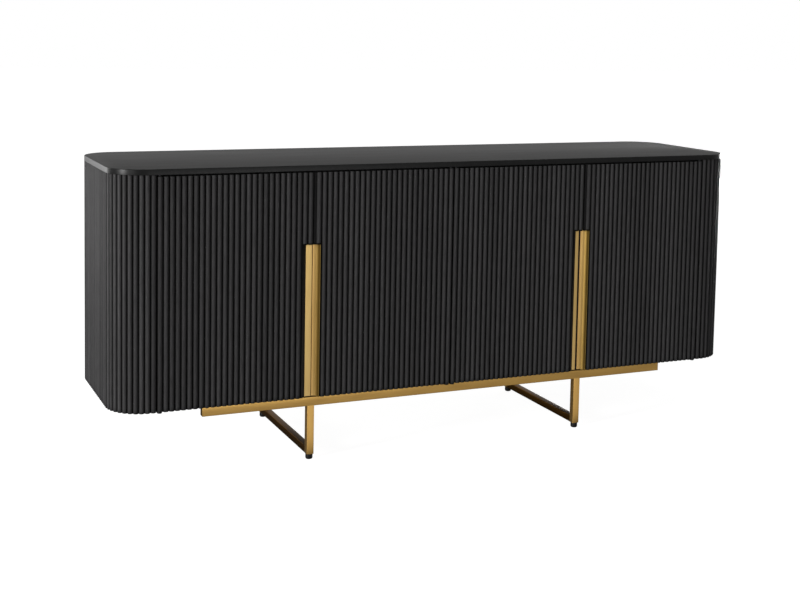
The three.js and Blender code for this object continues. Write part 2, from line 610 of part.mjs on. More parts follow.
const LEG_TOP = BAR_UNDER - SEAT_GAP;
for (const side of SIDES) {
  const seam = seamOf(side);
  const x0 = seam - TUBE / 2;
  const x1 = seam + TUBE / 2;
  for (const [row, y] of [['front', FRONT_BAR_Y], ['rear', REAR_BAR_Y]]) {
    const leg = openTube({ x: x0, y, z: GLIDE_HEIGHT }, { x: x1, y: y + TUBE, z: LEG_TOP }, 'z');
    addPart(`${row}_leg_${side}`, leg, brass);
    addPart(`glide_${row}_${side}`, glide(seam, y + TUBE / 2), blackPlastic);
  }
  const railFront = FRONT_BAR_Y + TUBE + SEAT_GAP;
  const railRear = REAR_BAR_Y - SEAT_GAP;
  const floorRail = openTube(
    { x: x0, y: railFront, z: GLIDE_HEIGHT },
    { x: x1, y: railRear, z: GLIDE_HEIGHT + TUBE },
    'y',
  );
  addPart(`floor_rail_${side}`, floorRail, brass);
  const crossMember = openTube(
    { x: x0, y: railFront, z: BAR_TOP - TUBE },
    { x: x1, y: railRear, z: BAR_TOP },
    'y',
  );
  addPart(`cross_member_${side}`, crossMember, brass);
}

export default sideboard;
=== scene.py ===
# A four-door sideboard: black-stained reeded doors and ends, satin brass pulls and base.
# Metres, +Z up, front at -Y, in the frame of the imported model.
import math
import random

import bmesh
import bpy
from mathutils import Matrix, Vector


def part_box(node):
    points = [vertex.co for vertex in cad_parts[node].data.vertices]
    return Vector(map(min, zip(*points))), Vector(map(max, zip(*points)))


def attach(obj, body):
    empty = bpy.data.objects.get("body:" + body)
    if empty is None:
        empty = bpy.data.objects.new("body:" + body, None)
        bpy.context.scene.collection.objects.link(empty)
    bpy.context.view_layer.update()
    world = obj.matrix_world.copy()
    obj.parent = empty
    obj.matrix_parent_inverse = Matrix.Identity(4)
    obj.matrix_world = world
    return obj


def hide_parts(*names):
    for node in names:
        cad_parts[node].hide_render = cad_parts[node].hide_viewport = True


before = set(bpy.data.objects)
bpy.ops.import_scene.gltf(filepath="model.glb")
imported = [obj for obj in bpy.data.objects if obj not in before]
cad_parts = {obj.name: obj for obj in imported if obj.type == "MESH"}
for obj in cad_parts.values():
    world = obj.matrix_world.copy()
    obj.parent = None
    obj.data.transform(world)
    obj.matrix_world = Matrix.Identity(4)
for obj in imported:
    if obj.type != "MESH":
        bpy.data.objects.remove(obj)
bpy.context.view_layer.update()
scene = bpy.context.scene
scene.view_settings.view_transform = "Standard"

# ---- Camera ----
# A long lens at chest height, standing left of the middle of the cabinet and tilted a little down. The frame
# is shifted down for the rest, so that uprights stay close to parallel.
EYE = Vector((-1.599, -3.529, 1.176))
YAW, PITCH, ROLL = (math.radians(a) for a in (23.51, 5.0, -1.05))
ahead = Vector((math.sin(YAW) * math.cos(PITCH), math.cos(YAW) * math.cos(PITCH), -math.sin(PITCH)))
above = Vector((math.sin(YAW) * math.sin(PITCH), math.cos(YAW) * math.sin(PITCH), math.cos(PITCH)))
beside = ahead.cross(above)
cam_x = beside * math.cos(ROLL) - above * math.sin(ROLL)
cam_y = beside * math.sin(ROLL) + above * math.cos(ROLL)
camera = bpy.data.objects.new("camera", bpy.data.cameras.new("camera"))
camera.data.lens = 59.39
camera.data.shift_y = -0.196
camera.matrix_world = Matrix.Translation(EYE) @ Matrix((cam_x, cam_y, -ahead)).transposed().to_4x4()
scene.collection.objects.link(camera)
scene.camera = camera


# ---- Floor and studio light ----
# A pale seamless floor in a dim room. Two tall softboxes far off at the left front rake across the reeds.
# Cards behind the left end and in front and a low softbox at the rear right show in the lacquer and brass,
# and a panel overhead fills the top.
def linear(hex_colour):
    """An sRGB hex colour as linear red, green, blue and alpha."""
    parts = [int(hex_colour[i:i + 2], 16) / 255 for i in (1, 3, 5)]
    return [c / 12.92 if c <= 0.04045 else ((c + 0.055) / 1.055) ** 2.4 for c in parts] + [1.0]


def add(tree, kind, links=(), **settings):
    """A node of one kind, its settings and inputs by name, its links as (output, input name or number)."""
    node = tree.nodes.new("ShaderNode" + kind)
    for key, value in settings.items():
        if hasattr(node, key):
            setattr(node, key, value)
        else:
            node.inputs[key.replace("_", " ")].default_value = value
    for output, name in links:
        tree.links.new(output, node.inputs[name])
    return node


def rays(tree, *kinds):
    """1 for rays of the kinds named, and 0 for the rest."""
    path = add(tree, "LightPath")
    found = path.outputs[kinds[0]]
    for kind in kinds[1:]:
        found = add(tree, "Math", [(found, 0), (path.outputs[kind], 1)], operation="MAXIMUM").outputs[0]
    return found


# The room itself is dim, and a plain white where it is looked at.
world = bpy.data.worlds.new("studio")
world.use_nodes = True
scene.world = world
tree = world.node_tree
tree.nodes.clear()
room = add(tree, "Background", Color=linear("#f4f4f5"), Strength=0.07)
surround = add(tree, "Background", Color=(1, 1, 1, 1), Strength=1.0)
direct = rays(tree, "Is Camera Ray", "Is Glossy Ray", "Is Transmission Ray")
seen = add(tree, "MixShader", [(direct, 0), (room.outputs[0], 1), (surround.outputs[0], 2)])
add(tree, "OutputWorld", [(seen.outputs[0], "Surface")])

# Painted floor: nearly white, with the shadow of the cabinet left on it. Reflections see painted light and
# shade on it instead: brighter at the left, and dark under and close behind the cabinet.
paint = bpy.data.materials.new("floor_white_paint")
paint.use_nodes = True
tree = paint.node_tree
tree.nodes.clear()
matt = add(tree, "BsdfDiffuse", Color=linear("#f3f3f3"))
faint = add(tree, "BsdfDiffuse", Color=linear("#8f8f8f"))
place = add(tree, "TexCoord").outputs["Object"]
away = add(tree, "VectorMath", [(place, 0)], operation="LENGTH")
haze = add(tree, "MapRange", [(away.outputs["Value"], "Value")],
           From_Min=2.0, From_Max=6.0, To_Min=0.94, To_Max=1.0)
glow = add(tree, "Emission", [(haze.outputs[0], "Strength")], Color=(1, 1, 1, 1))
both = add(tree, "AddShader", [(faint.outputs[0], 0), (glow.outputs[0], 1)])
spot = add(tree, "SeparateXYZ", [(place, 0)])
# What reflections see is bright beyond the cabinet's ends, well behind it and in front of it, and a painted
# shade under it.
aside = add(tree, "Math", [(spot.outputs["X"], 0)], operation="ABSOLUTE")
clear = add(tree, "MapRange", [(aside.outputs[0], "Value")],
            From_Min=0.95, From_Max=1.35, To_Min=0.1, To_Max=0.6)
for near, far, full in ((0.6, 1.1, 0.6), (-0.25, -0.36, 1.0)):
    edge = add(tree, "MapRange", [(spot.outputs["Y"], "Value")], From_Min=near, From_Max=far, To_Max=full)
    clear = add(tree, "Math", [(clear.outputs[0], 0), (edge.outputs[0], 1)], operation="MAXIMUM")
lit = add(tree, "MapRange", [(spot.outputs["X"], "Value")],
          From_Min=-1.0, From_Max=2.5, To_Min=1.0, To_Max=0.6)
spread = add(tree, "Math", [(clear.outputs[0], 0), (lit.outputs[0], 1)], operation="MULTIPLY")
sheen = add(tree, "Emission", [(spread.outputs[0], "Strength")], Color=(1, 1, 1, 1))
glossy = rays(tree, "Is Glossy Ray")
glossed = add(tree, "MixShader", [(glossy, 0), (matt.outputs[0], 1), (sheen.outputs[0], 2)])
direct = rays(tree, "Is Camera Ray", "Is Transmission Ray")
shown = add(tree, "MixShader", [(direct, 0), (glossed.outputs[0], 1), (both.outputs[0], 2)])
add(tree, "OutputMaterial", [(shown.outputs[0], "Surface")])
mesh = bpy.data.meshes.new("floor")
mesh.from_pydata([(-30, -30, 0), (30, -30, 0), (30, 30, 0), (-30, 30, 0)], [], [(0, 1, 2, 3)])
mesh.materials.append(paint)
floor = bpy.data.objects.new("floor", mesh)
scene.collection.objects.link(floor)


def softbox(name, place, aim, width, height, watts):
    """A rectangular soft lamp at place, turned to aim."""
    lamp = bpy.data.lights.new(name, "AREA")
    lamp.shape = "RECTANGLE"
    lamp.size = width
    lamp.size_y = height
    lamp.energy = watts
    holder = bpy.data.objects.new(name, lamp)
    holder.location = place
    holder.rotation_euler = (Vector(aim) - Vector(place)).to_track_quat("-Z", "Y").to_euler()
    scene.collection.objects.link(holder)


softbox("overhead_panel", (0.0, -0.4, 3.2), (0, 0, 0.4), 4.0, 2.4, 25)
softbox("left_softbox", (-12.5, -3.6, 2.0), (0, 0, 0.5), 1.8, 4.0, 2000)
softbox("front_left_softbox", (-9.0, -9.0, 2.0), (0, 0, 0.5), 2.0, 4.0, 215)
softbox("rear_left_card", (-2.2, 2.2, 0.9), (-0.9, 0, 0.5), 1.0, 1.4, 22)
softbox("front_card", (0.3, -3.6, 0.5), (0, 0, 0.3), 1.2, 0.9, 19)
softbox("rear_right_softbox", (5.8, 4.4, 0.42), (0, 0, 0.42), 4.0, 0.7, 450)


# ---- Top slab ----
# A 15 mm board with rounded plan corners, veneered with ash along its length and stained black. Its edge is
# lipped and eased by hand, so the lacquer catches the light there. It is glued down on the carcass top.
def lay(verts, faces, name, material, sharp=32, strips=None, painted_shades=None):
    """A smooth-shaded mesh piece that keeps edges sharper than an angle.

    It can carry a tone on each face, and a painted shade on each corner point: on wood darkest between two
    reeds, on a brass cove towards its outer edge.
    """
    mesh = bpy.data.meshes.new(name)
    mesh.from_pydata(verts, [], faces)
    mesh.shade_smooth()
    mesh.set_sharp_from_angle(angle=math.radians(sharp))
    mesh.materials.append(material)
    if strips:
        mesh.attributes.new("strip", "FLOAT", "FACE").data.foreach_set("value", strips)
    if painted_shades:
        mesh.attributes.new("painted_shade", "FLOAT", "POINT").data.foreach_set("value", painted_shades)
    piece = bpy.data.objects.new(name, mesh)
    scene.collection.objects.link(piece)
    return piece


def shrink(outline, distance):
    """A closed anticlockwise plan outline with every edge moved inwards."""
    moved = []
    for i, here in enumerate(outline):
        before, after = outline[i - 1], outline[(i + 1) % len(outline)]
        along_in = (Vector(here) - Vector(before)).normalized()
        along_out = (Vector(after) - Vector(here)).normalized()
        inward = Vector((-along_in.y - along_out.y, along_in.x + along_out.x))
        square = max(inward.length_squared / 2, 0.5)
        moved.append((here[0] + inward.x * distance / square, here[1] + inward.y * distance / square))
    return moved


def arc(cx, cy, radius, start, end, steps):
    """Points of an arc, angles in degrees."""
    turns = [math.radians(start + (end - start) * i / steps) for i in range(steps + 1)]
    return [(cx + radius * math.cos(t), cy + radius * math.sin(t)) for t in turns]


def eased(low, high, radius, steps=3):
    """Levels as (height, inset) for a prism from low to high with both rims rounded."""
    turns = [math.pi / 2 * i / steps for i in range(steps + 1)]
    rim = [(radius * (1 - math.sin(t)), radius * (1 - math.cos(t))) for t in turns]
    return [(low + h, d) for h, d in reversed(rim)] + [(high - h, d) for h, d in rim]


def prism(outline, levels):
    """Corner points and faces of an upright prism, with its outline shrunk by each level's inset."""
    count = len(outline)
    verts = []
    for height, inset in levels:
        ring = shrink(outline, inset) if inset else outline
        verts += [(x, y, height) for x, y in ring]
    faces = []
    for row in range(len(levels) - 1):
        for i in range(count):
            j = (i + 1) % count
            a, b = row * count, (row + 1) * count
            faces.append((a + i, a + j, b + j, b + i))
    faces.append(tuple(reversed(range(count))))
    faces.append(tuple(range((len(levels) - 1) * count, len(levels) * count)))
    return verts, faces


def ash(name, grain, black, worn, roughness, gloss):
    """Black-stained ash under satin lacquer, grain along one axis: open pores, slow tone drift, soft sheen.

    A painted shade tones it down between the reeds, nearly to black at their roots.
    Real ash pores are 0.2 mm wide and a few centimetres long; they are drawn 0.8 mm wide so that they show.
    """
    wood = bpy.data.materials.new(name)
    wood.use_nodes = True
    tree = wood.node_tree
    shader = tree.nodes["Principled BSDF"]
    place = add(tree, "TexCoord").outputs["Object"]
    strip = add(tree, "Attribute", attribute_name="strip").outputs["Fac"]
    apart = add(tree, "CombineXYZ", [(strip, "X"), (strip, "Y"), (strip, "Z")])
    spread = add(tree, "VectorMath", [(apart.outputs[0], 0), (place, 2)], operation="MULTIPLY_ADD")
    # Each reed is cut from another part of the board.
    spread.inputs[1].default_value = (0.31, 0.17, 0.73)
    fine, slow = [1 / 0.0008] * 3, [1 / 0.012] * 3
    fine[grain], slow[grain] = 1 / 0.035, 1 / 0.25
    across = add(tree, "Mapping", [(spread.outputs[0], "Vector")], Scale=fine)
    drift = add(tree, "Mapping", [(spread.outputs[0], "Vector")], Scale=slow)
    pores = add(tree, "TexNoise", [(across.outputs[0], "Vector")], Scale=1.0, Detail=3.0, Roughness=0.6)
    cloud = add(tree, "TexNoise", [(drift.outputs[0], "Vector")], Scale=1.0, Detail=2.0)
    open_pore = add(tree, "ValToRGB", [(pores.outputs[0], 0)])
    open_pore.color_ramp.elements[0].position = 0.36
    open_pore.color_ramp.elements[1].position = 0.52
    tone = add(tree, "MixRGB", [(cloud.outputs[0], "Fac")], Color1=linear(black), Color2=linear(worn))
    dyed = add(tree, "MixRGB", [(tone.outputs[0], "Color1"), (open_pore.outputs[0], "Color2")],
               blend_type="MULTIPLY", Fac=0.45)
    # Each reed has its own tone, and a painted shade darkens it between the reeds.
    shade = add(tree, "MapRange", [(strip, "Value")], To_Min=0.7, To_Max=1.3)
    between = add(tree, "Attribute", attribute_name="painted_shade").outputs["Fac"]
    shade_factor = add(tree, "MapRange", [(between, "Value")], To_Min=1.0, To_Max=0.02)
    depth = add(tree, "Math", [(shade.outputs[0], 0), (shade_factor.outputs[0], 1)], operation="MULTIPLY")
    toned = add(tree, "VectorMath", [(dyed.outputs[0], 0), (depth.outputs[0], "Scale")], operation="SCALE")
    tree.links.new(toned.outputs[0], shader.inputs["Base Color"])
    sheen = add(tree, "MapRange", [(cloud.outputs[0], "Value")],
                To_Min=roughness - 0.05, To_Max=roughness + 0.07)
    # The hollows between the reeds are duller.
    dull = add(tree, "Math", [(between, 0), (sheen.outputs[0], 2)], operation="MULTIPLY_ADD")
    dull.inputs[1].default_value = 0.35
    tree.links.new(dull.outputs[0], shader.inputs["Roughness"])
    relief = add(tree, "Bump", [(open_pore.outputs[0], "Height")], Strength=0.12, Distance=0.0001)
    tree.links.new(relief.outputs[0], shader.inputs["Normal"])
    shader.inputs["IOR"].default_value = 1.46
    shader.inputs["Specular IOR Level"].default_value = gloss
    return wood


CORNER = 0.096
CORNER_STEPS = 28
SLAB_RIM = 0.0015
SLAB_ARRIS = 0.0004
slab_low, slab_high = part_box("top_slab")
plan = (arc(slab_high.x - CORNER, slab_low.y + CORNER, CORNER, -90, 0, CORNER_STEPS)
        + arc(slab_high.x - CORNER, slab_high.y - CORNER, CORNER, 0, 90, CORNER_STEPS)
        + arc(slab_low.x + CORNER, slab_high.y - CORNER, CORNER, 90, 180, CORNER_STEPS)
        + arc(slab_low.x + CORNER, slab_low.y + CORNER, CORNER, 180, 270, CORNER_STEPS))
# The veneer's thin lacquer leaves a dull, even black. The lipping is rubbed to a satin that takes a line of
# light, and is coloured darker than the top, a painted shade.
slab_wood = ash("black_stained_ash_top", 0, "#171616", "#1f1e1d", 0.60, 0.13)
edge_wood = ash("black_stained_ash_lipping", 2, "#0d0d0d", "#131313", 0.34, 0.12)
# The rim is rounded above, and only its arris is broken below.
under_rim = [(slab_low.z, SLAB_ARRIS), (slab_low.z + SLAB_ARRIS, 0.0)]
top_rim = eased(slab_low.z, slab_high.z, SLAB_RIM)[4:]
verts, faces = prism(plan, under_rim + top_rim)
slab = lay(verts, faces, "slab_veneered", slab_wood, 40)
slab.data.materials.append(edge_wood)
for face in slab.data.polygons:
    face.material_index = int(abs(face.normal.z) < 0.9)
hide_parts("top_slab")
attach(slab, "cabinet")


# ---- Reeded end shells ----
# Bent plywood round both corners of an end, faced with half-round ash reeds that stop short of each other by
# a hair, all stained black together. The reeds are sawn off square and eased with paper, and a painted shadow
# darkens their lowest 12 mm.
REED_PITCH = 0.0156
REED_HEIGHT = 0.006
REED_GROOVE = 0.001
REED_STEPS = 12
REED_EASE = 0.0007
# Painted shade: its height at the reeds' feet, its curve between reeds, its darkness at feet and door edges.
REED_FOOT = 0.012
SHADE_CURVE = 0.9
FOOT_AND_EDGE_SHADE = 0.6
SHELL_WALL = 0.024
SHELL_RETURN = 0.0175
PLY_STEPS = 16


def reed_round(pitch):
    """Half the width of a reed and the radius of its round."""
    half = (pitch - REED_GROOVE) / 2
    return half, (half ** 2 + REED_HEIGHT ** 2) / (2 * REED_HEIGHT)


def reed_levels(low, high):
    """Levels of a reeded piece: both rims eased, and one more level where the painted shadow of the foot
    ends.
    """
    levels = eased(low, high, REED_EASE, 2)
    return levels[:3] + [(low + REED_FOOT, 0)] + levels[3:]


def reed_shade(painted_shade, height):
    """How dark the painted shade lies at a point so deep between two reeds and so high above their feet."""
    return max(painted_shade, FOOT_AND_EDGE_SHADE * (1 - height / REED_FOOT))


def reeds(start, count, pitch):
    """A run of reeds as (distance along, depth behind the crests)."""
    half, radius = reed_round(pitch)
    sweep = math.atan2(half, radius - REED_HEIGHT)
    run = []
    for i in range(count):
        for step in range(REED_STEPS + 1):
            angle = sweep * (2 * step / REED_STEPS - 1)
            along = start + (i + 0.5) * pitch + radius * math.sin(angle)
            run.append((along, radius - radius * math.cos(angle)))
    return run


# Charcoal on the reeds' crests, and a painted shade nearly black between them.
reed_wood = ash("black_stained_ash_reeds", 2, "#2f2f2f", "#3c3b3c", 0.42, 0.04)
shell_low, shell_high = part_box("end_shell_right")
corner_x = shell_high.x - CORNER
corner_y = shell_high.y - CORNER
QUARTER = CORNER * math.pi / 2
straight = 2 * corner_y
run_length = 2 * SHELL_RETURN + 2 * QUARTER + straight


def shell_point(s, depth):
    """The plan point that lies s along the right shell's face from its front seam, and depth behind it."""
    reach = CORNER - depth
    s -= SHELL_RETURN
    if s <= 0:
        return corner_x + s, -corner_y - reach
    if s <= QUARTER:
        return corner_x + reach * math.sin(s / CORNER), -corner_y - reach * math.cos(s / CORNER)
    s -= QUARTER
    if s <= straight:
        return corner_x + reach, s - corner_y
    s -= straight
    if s <= QUARTER:
        return corner_x + reach * math.cos(s / CORNER), corner_y + reach * math.sin(s / CORNER)
    return corner_x - (s - QUARTER), corner_y + reach


shell_count = round(run_length / REED_PITCH)
shell_run = reeds(0, shell_count, run_length / shell_count)
face_side = [shell_point(0, REED_HEIGHT)] + [shell_point(s, d) for s, d in shell_run]
face_side.append(shell_point(run_length, REED_HEIGHT))
bends = [s + QUARTER * i / PLY_STEPS for s in (SHELL_RETURN, SHELL_RETURN + QUARTER + straight)
         for i in range(PLY_STEPS + 1)]
back_side = [shell_point(s, SHELL_WALL) for s in [0] + bends + [run_length]]
shell_plan = face_side + back_side[::-1]
dice = random.Random(7)
for side, mirror in (("right", 1), ("left", -1)):
    plan = shell_plan if mirror > 0 else [(-x, y) for x, y in reversed(shell_plan)]
    verts, faces = prism(plan, reed_levels(shell_low.z, shell_high.z))
    tones = [dice.random() for _ in range(shell_count + 1)]
    marks = [min(i // (REED_STEPS + 1), shell_count) if i < len(face_side) else shell_count
             for i in range(len(plan))]
    marks = marks if mirror > 0 else marks[::-1]
    strips = [tones[marks[i % len(plan)]] for i in range(len(faces) - 2)] + [0.5, 0.5]
    depths = [1] + [(d / REED_HEIGHT) ** SHADE_CURVE for _, d in shell_run] + [1] + [0] * len(back_side)
    depths = (depths if mirror > 0 else depths[::-1]) * (len(verts) // len(plan))
    painted_shades = [reed_shade(depth, vert[2] - shell_low.z) for depth, vert in zip(depths, verts)]
    shell = lay(verts, faces, f"end_reeded_{side}", reed_wood, 32, strips, painted_shades)
    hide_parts(f"end_shell_{side}")
    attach(shell, "cabinet")

# ---- Doors ----
# MDF cores faced with the same reeds as the ends, so that the front reads as one run. Each pair of doors is
# hollowed at its seam from below for the finger pulls, and bored top and bottom for the pivot pins. Above the
# pull a low lip on the right door of a pair closes the seam.
HINGE_TRIM = 0.0013
DOOR_THICK = 0.030
PULL_HEIGHT = 0.417
# Height of the painted shadow on the reeds just above the pull.
PULL_SHADE = 0.003
FLAT_DEPTH = 0.0184
FLAT_WIDTH = 0.0168
LINER_EDGE = 0.0022
LINER_THICK = 0.0015
# Room for the glue between a strip and its door.
SEAT = 0.0003
PULL_SLOPE = 0.0155
HOLLOW_DEPTH = 0.025
HOLLOW_FLOOR = 0.0038
HOLLOW_RISE = 0.0088
HOLLOW_LIP = 0.001
BORE_RADIUS = 0.0033
BORE_DEEP = 0.0141
BORE_DEEP_TOP = 0.0101
BORE_SIDES = 16
MANY_SIDED = 100
LIP_FACE = 0.0038
LIP_BACK = 0.014
LIP_EASE = 0.0007
# Depths in reed heights: of the reeded front, and of the part of a door's edges that takes a painted shade.
REEDED_DEPTH = 1.02
EDGE_DEPTH = 3.5
# How far the lip reaches over the seam, for each pair.
lip_width = {"left": 0.0068, "right": 0.0056}


def pull_hollow(grow, steps=16):
    """The hollow's curve from its floor to its lip, as (distance from the seam's middle, depth)."""
    turns = [math.pi / 2 * i / steps for i in range(steps + 1)]
    return [(LINER_EDGE + HOLLOW_FLOOR + (HOLLOW_RISE + grow) * math.sin(t),
             HOLLOW_LIP + (HOLLOW_DEPTH - HOLLOW_LIP + grow) * math.cos(t)) for t in turns]


def crossing(run, wall):
    """Where a reed run meets the pull's wall: the index in each, and the point."""
    for i in range(len(run) - 1):
        for j in range(len(wall) - 1):
            a, b, c, d = (Vector(p) for p in (run[i], run[i + 1], wall[j], wall[j + 1]))
            across = (b - a).cross(d - c)
            if abs(across) < 1e-14:
                continue
            t = (c - a).cross(d - c) / across
            u = (c - a).cross(b - a) / across
            if 0 <= t <= 1 and 0 <= u <= 1:
                return i, j, tuple(a + (b - a) * t)
    raise ValueError("the pull's wall misses the reeds")


door_names = {"left_outer": -1, "left_inner": 1, "right_inner": -1, "right_outer": 1}
front_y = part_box("door_left_outer")[0].y
seams = {"left": (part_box("door_left_outer")[1].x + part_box("door_left_inner")[0].x) / 2,
         "right": (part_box("door_right_inner")[1].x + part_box("door_right_outer")[0].x) / 2}
pivots = {}
for name, hinge in door_names.items():
    low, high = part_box(f"door_{name}")
    width = high.x - low.x
    count = round((width + HINGE_TRIM) / REED_PITCH)
    pitch = (width + HINGE_TRIM) / count
    radius = reed_round(pitch)[1]
    inset = pitch / 2 - HINGE_TRIM
    start = -HINGE_TRIM if hinge < 0 else 0
    run = reeds(start, count, pitch)
    seam = seams[name.split("_")[0]] - low.x
    # The pull's wall runs from the reeds inwards to the door's free edge. The door's plan is made of common,
    # pulled and tail beside the pull, and of common, plain and tail above it.
    if hinge < 0:
        foot = seam - LINER_EDGE - FLAT_WIDTH - SEAT
        deep = FLAT_DEPTH + LINER_THICK + SEAT
        wall = [(foot - PULL_SLOPE, 0), (foot, deep), (width, deep)]
        i, j, meet = crossing(run, wall)
        common = run[:i + 1] + [meet]
        plain = run[i + 1:] + [(width, REED_HEIGHT)]
        pulled = wall[j + 1:-1]
        tail = [(width, deep), (width, DOOR_THICK), (run[0][0], DOOR_THICK)]
    else:
        wall = [(seam + x, d) for x, d in reversed(pull_hollow(LINER_THICK + SEAT))]
        wall.append((0, wall[-1][1]))
        i, j, meet = crossing(run, wall)
        common = [meet] + run[i + 1:] + [(run[-1][0], DOOR_THICK), (0, DOOR_THICK), wall[-1]]
        lip = lip_width[name.split("_")[0]]
        plain = [(0, LIP_BACK), (-lip, LIP_BACK), (-lip, LIP_FACE + LIP_EASE), (LIP_EASE - lip, LIP_FACE),
                 (-LIP_EASE, LIP_FACE), (0, REED_HEIGHT)] + run[:i + 1]
        pulled = wall[j + 1:-1][::-1]
        tail = []
    upper = [(low.x + s, front_y + d) for s, d in common + plain + tail]
    lower = [(low.x + s, front_y + d) for s, d in common + pulled + tail]
    shared, extra = len(common), len(tail)
    pull_top = low.z + PULL_HEIGHT
    levels = reed_levels(low.z, high.z)
    under = [level for level in levels if level[0] < pull_top] + [(pull_top, 0)]
    over = [(pull_top + h, 0) for h in (0, PULL_SHADE, PULL_SHADE + 0.002)]
    over += [level for level in levels if level[0] > pull_top]
    verts_low, faces_low = prism(lower, under)
    verts_high, faces_high = prism(upper, over)
    shift = len(verts_low)
    # The two parts share one seamless ring: the faces between them are the pull's ceiling only.
    top_ring, base_ring = shift - len(lower), shift
    faces_low.pop()
    del faces_high[-2]
    same = {base_ring + k: top_ring + k for k in range(shared)}
    same.update({base_ring + len(upper) - k: top_ring + len(lower) - k for k in range(1, extra + 1)})
    faces = faces_low + [tuple(same.get(v + shift, v + shift) for v in face) for face in faces_high]
    ceiling = [top_ring + (shared - 1 + k) % len(lower) for k in range(len(pulled) + 2)]
    roof = [base_ring + shared - 1 + k for k in range(len(plain), 0, -1)]
    faces.append(tuple(ceiling + roof))
    verts = verts_low + verts_high
    # Bores for the pins, sunk from the bottom and top faces. Those two are left out here and filled in round
    # the bores further down.
    axis_x = low.x + inset if hinge < 0 else high.x - inset
    axis_y = front_y + radius
    pivots[name] = (axis_x, axis_y)
    bore = arc(axis_x, axis_y, BORE_RADIUS, 0, 360 - 360 / BORE_SIDES, BORE_SIDES - 1)
    faces = [face for face in faces if len(face) < MANY_SIDED]
    for height, deep in ((low.z, low.z + BORE_DEEP), (high.z, high.z - BORE_DEEP_TOP)):
        first = len(verts)
        verts += [(x, y, height) for x, y in bore] + [(x, y, deep) for x, y in bore]
        for k in range(BORE_SIDES):
            m = (k + 1) % BORE_SIDES
            faces.append((first + k, first + m, first + BORE_SIDES + m, first + BORE_SIDES + k))
        faces.append(tuple(range(first + BORE_SIDES, first + 2 * BORE_SIDES)))
    shape = bmesh.new()
    points = [shape.verts.new(vert) for vert in verts]
    for face in faces:
        shape.faces.new([points[v] for v in face])
    bmesh.ops.delete(shape, geom=[point for point in points if not point.link_faces], context="VERTS")
    for height in (low.z, high.z):
        rim = [edge for edge in shape.edges if edge.is_boundary and abs(edge.verts[0].co.z - height) < 1e-7]
        bmesh.ops.triangle_fill(shape, edges=rim, use_beauty=True)
    bmesh.ops.recalc_face_normals(shape, faces=shape.faces)
    shape.verts.index_update()
    verts = [vert.co.copy() for vert in shape.verts]
    faces = [[vert.index for vert in face.verts] for face in shape.faces]
    shape.free()
    tones = [0.3 + 0.4 * dice.random() for _ in range(count + 2)]
    strips = []
    for face in faces:
        middle = sum((verts[v] for v in face), Vector()) / len(face)
        reeded = len(face) == 4 and middle.y < front_y + REED_HEIGHT + 1e-5 and low.x < middle.x < high.x
        strips.append(tones[int((middle.x - low.x - start) / pitch)] if reeded else tones[-1])
    # The painted shade is darkest between the reeds and dark on the door's edges; the back is left lighter.
    depths = [(vert.y - front_y) / REED_HEIGHT for vert in verts]
    painted_shades = [max(d, 0) ** SHADE_CURVE if d < REEDED_DEPTH else FOOT_AND_EDGE_SHADE * (d < EDGE_DEPTH)
               for d in depths]
    painted_shades = [reed_shade(depth, vert.z - low.z) for depth, vert in zip(painted_shades, verts)]
    # The reeds end above the pull, and a painted shadow tones the last of them there black.
    for k, vert in enumerate(verts):
        beside_seam = (vert.x - low.x - meet[0]) * hinge < 1e-6
        in_pull_shadow = pull_top - 1e-6 < vert.z < pull_top + PULL_SHADE + 1e-6
        if beside_seam and in_pull_shadow and depths[k] < REEDED_DEPTH:
            painted_shades[k] = 1.0
    door = lay(verts, faces, f"door_reeded_{name}", reed_wood, 32, strips, painted_shades)
    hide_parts(f"door_{name}")
    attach(door, f"{name}_door")

